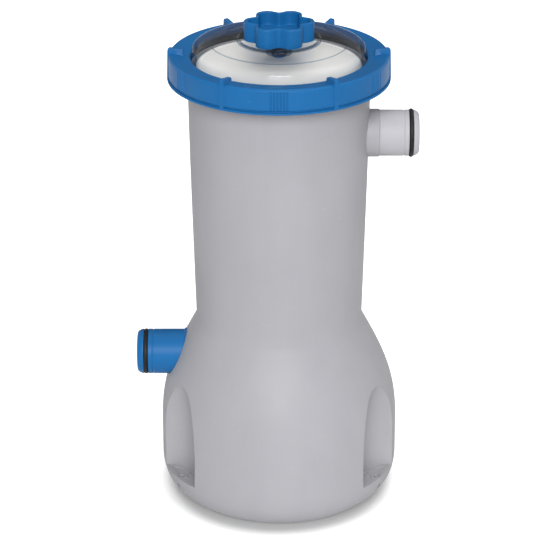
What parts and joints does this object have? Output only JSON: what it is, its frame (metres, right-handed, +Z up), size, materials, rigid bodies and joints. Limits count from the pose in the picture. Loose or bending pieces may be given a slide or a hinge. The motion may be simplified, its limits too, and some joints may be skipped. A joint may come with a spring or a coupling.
{
  "type": "pool filter pump",
  "caption": "Upright cartridge filter pump for an above-ground pool: flared motor base, tall canister, clear lid held by a screw ring, and two hose ports.",
  "frame": {"origin": "centre of the underside, on the floor", "axes": "+Z up along the canister, +X along the upper hose port, -Y is the front"},
  "size_m": [0.1975, 0.1833, 0.352],
  "materials": {
    "housing_grey": "smooth satin moulding",
    "fitting_blue": "satin moulding",
    "black_rubber": "matt",
    "dark_plastic": "satin moulding",
    "clear_plastic": "clear, polished",
    "white_plastic": "satin",
    "filter_paper": "pleated polyester paper",
    "screw_steel": "zinc plated",
    "stator_steel": "laminated",
    "winding_copper": "enamelled wire",
    "magnet_ferrite": "sintered",
    "bush_bronze": "sintered"
  },
  "bodies": {
    "pump": {"housing": "housing_grey", "base_plate": "housing_grey", "upper_hose_port": "housing_grey", "lower_hose_connector": "fitting_blue", "upper_port_oring": "black_rubber", "lower_port_oring": "black_rubber", "lower_port_seal": "black_rubber", "pump_casing": "dark_plastic", "casing_seal": "black_rubber", "suction_duct": "dark_plastic", "duct_oring_lower": "black_rubber", "duct_oring_upper": "black_rubber", "base_screw_1": "screw_steel", "base_screw_2": "screw_steel", "base_screw_3": "screw_steel", "base_screw_4": "screw_steel", "mount_screw_1": "screw_steel", "mount_screw_2": "screw_steel", "mount_screw_3": "screw_steel", "mount_screw_4": "screw_steel", "casing_screw_1": "screw_steel", "casing_screw_2": "screw_steel", "casing_screw_3": "screw_steel", "casing_screw_4": "screw_steel", "motor_cup": "dark_plastic", "lead_grommet": "black_rubber", "rotor_can": "dark_plastic", "stator_core": "stator_steel", "stator_windings": "winding_copper", "thermal_cutout": "dark_plastic", "rotor_shaft": "screw_steel", "shaft_bush_lower": "bush_bronze", "shaft_bush_upper": "bush_bronze", "gland_body": "dark_plastic", "gland_nut": "dark_plastic", "gland_seal": "black_rubber", "gland_locknut": "dark_plastic"},
    "lid": {"lid_dome": "clear_plastic", "lid_gasket": "black_rubber"},
    "ring": {"lock_ring": "fitting_blue"},
    "valve": {"valve_washer": "black_rubber"},
    "knob": {"air_valve_knob": "fitting_blue"},
    "cartridge": {"cartridge_top_cap": "white_plastic", "cartridge_bottom_cap": "white_plastic", "cartridge_core": "white_plastic", "filter_pleats": "filter_paper"},
    "rotor": {"magnet_rotor": "magnet_ferrite", "impeller": "white_plastic"}
  },
  "joints": [
    {"name": "lid_lift", "type": "slide", "parent": "pump", "child": "lid", "axis": [0, 0, 1], "range_m": [0, 0.22]},
    {"name": "ring_turn", "type": "hinge", "parent": "lid", "child": "ring", "pos_m": [0, 0, 0.3113], "axis": [0, 0, 1], "range_deg": [0, 90]},
    {"name": "valve_lift", "type": "slide", "parent": "lid", "child": "valve", "axis": [0, 0, 1], "range_m": [0, 0.00451]},
    {"name": "knob_turn", "type": "hinge", "parent": "valve", "child": "knob", "pos_m": [0, 0, 0.3384], "axis": [0, 0, 1], "range_deg": [0, 540]},
    {"name": "cartridge_lift", "type": "slide", "parent": "pump", "child": "cartridge", "axis": [0, 0, 1], "range_m": [0, 0.1541]},
    {"name": "rotor_spin", "type": "hinge", "parent": "pump", "child": "rotor", "pos_m": [0, 0, 0.1044], "axis": [0, 0, 1], "continuous": true}
  ],
  "couplings": [
    {"joint": "valve_lift", "follows": "knob_turn", "m_per_rad": 0.00047746},
    {"joint": "cartridge_lift", "follows": "lid_lift", "ratio": 0.7}
  ]
}
